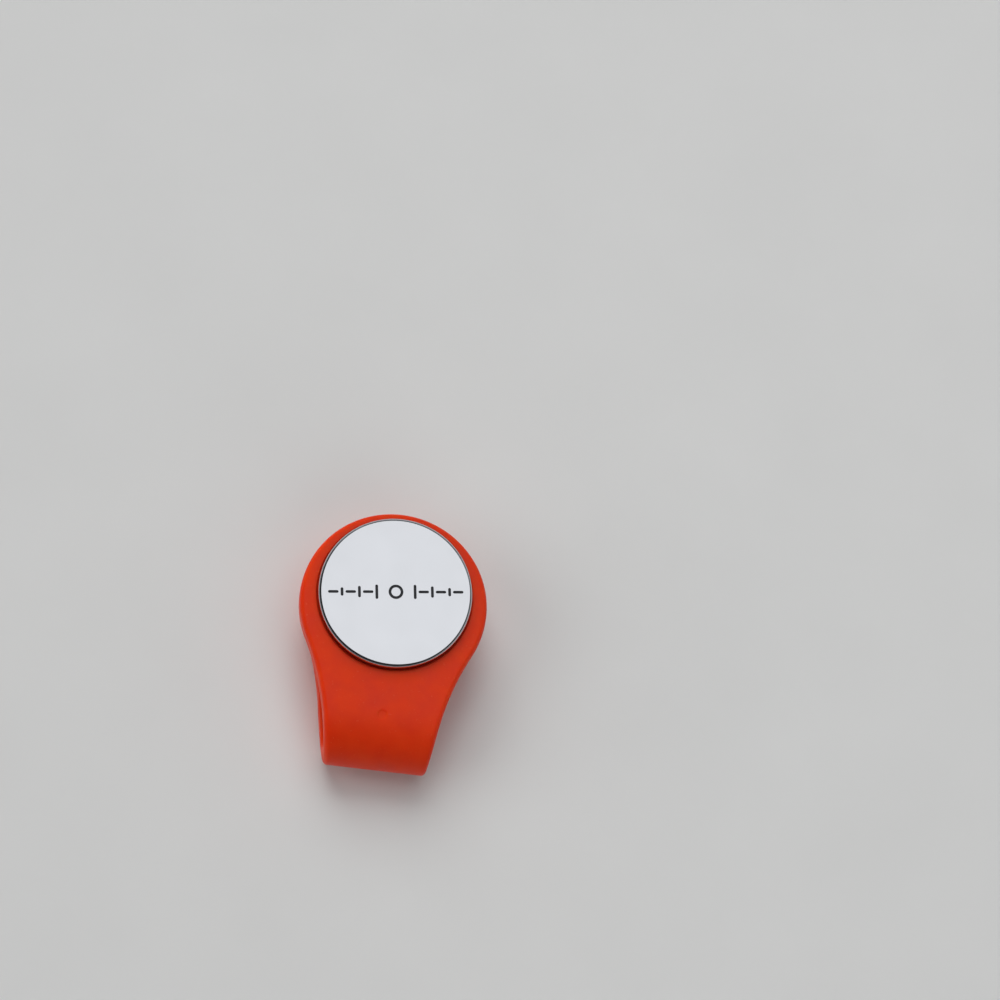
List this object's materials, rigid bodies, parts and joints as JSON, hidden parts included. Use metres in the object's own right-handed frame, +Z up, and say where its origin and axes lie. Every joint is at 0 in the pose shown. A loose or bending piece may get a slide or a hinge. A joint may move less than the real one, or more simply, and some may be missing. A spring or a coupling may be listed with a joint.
{
  "type": "golf ball marker",
  "caption": "Chromed golf ball marker disc held by a magnet in the round head of a folded orange silicone clip for a cap's peak.",
  "frame": {"origin": "on the marker disc's axis, in the flat outer face of the lower arm that the clip lies on", "axes": "+Z up towards the marker's face, +Y from the fold towards the heads and the slot's mouth, +X to the right"},
  "size_m": [0.0304, 0.0416, 0.0129],
  "materials": {
    "chrome": "polished chrome plate on steel",
    "silicone": "smooth matt moulded silicone",
    "zinc_plate": "zinc-plated pressed steel",
    "nickel_plate": "nickel-plated sintered magnet"
  },
  "bodies": {
    "lower_jaw": {"lower_arm": "silicone", "fold": "silicone", "keeper_plate": "zinc_plate", "clamp_magnet": "nickel_plate", "magnet_cover": "silicone"},
    "upper_jaw": {"upper_arm": "silicone", "magnet_cup": "zinc_plate", "seat_magnet": "nickel_plate"},
    "marker": {"marker_disc": "chrome"}
  },
  "joints": [
    {"name": "jaw_flex", "type": "hinge", "parent": "lower_jaw", "child": "upper_jaw", "pos_m": [0, -0.0264, 0.0057], "axis": [1, 0, 0], "range_deg": [-6.5, 50], "stiffness_Nm_per_rad": 0.3, "springref_deg": 0.52, "deforming": ["fold"]},
    {"name": "marker_lift", "type": "slide", "parent": "upper_jaw", "child": "marker", "axis": [0, 0, 1], "range_m": [0, 0.02]}
  ]
}
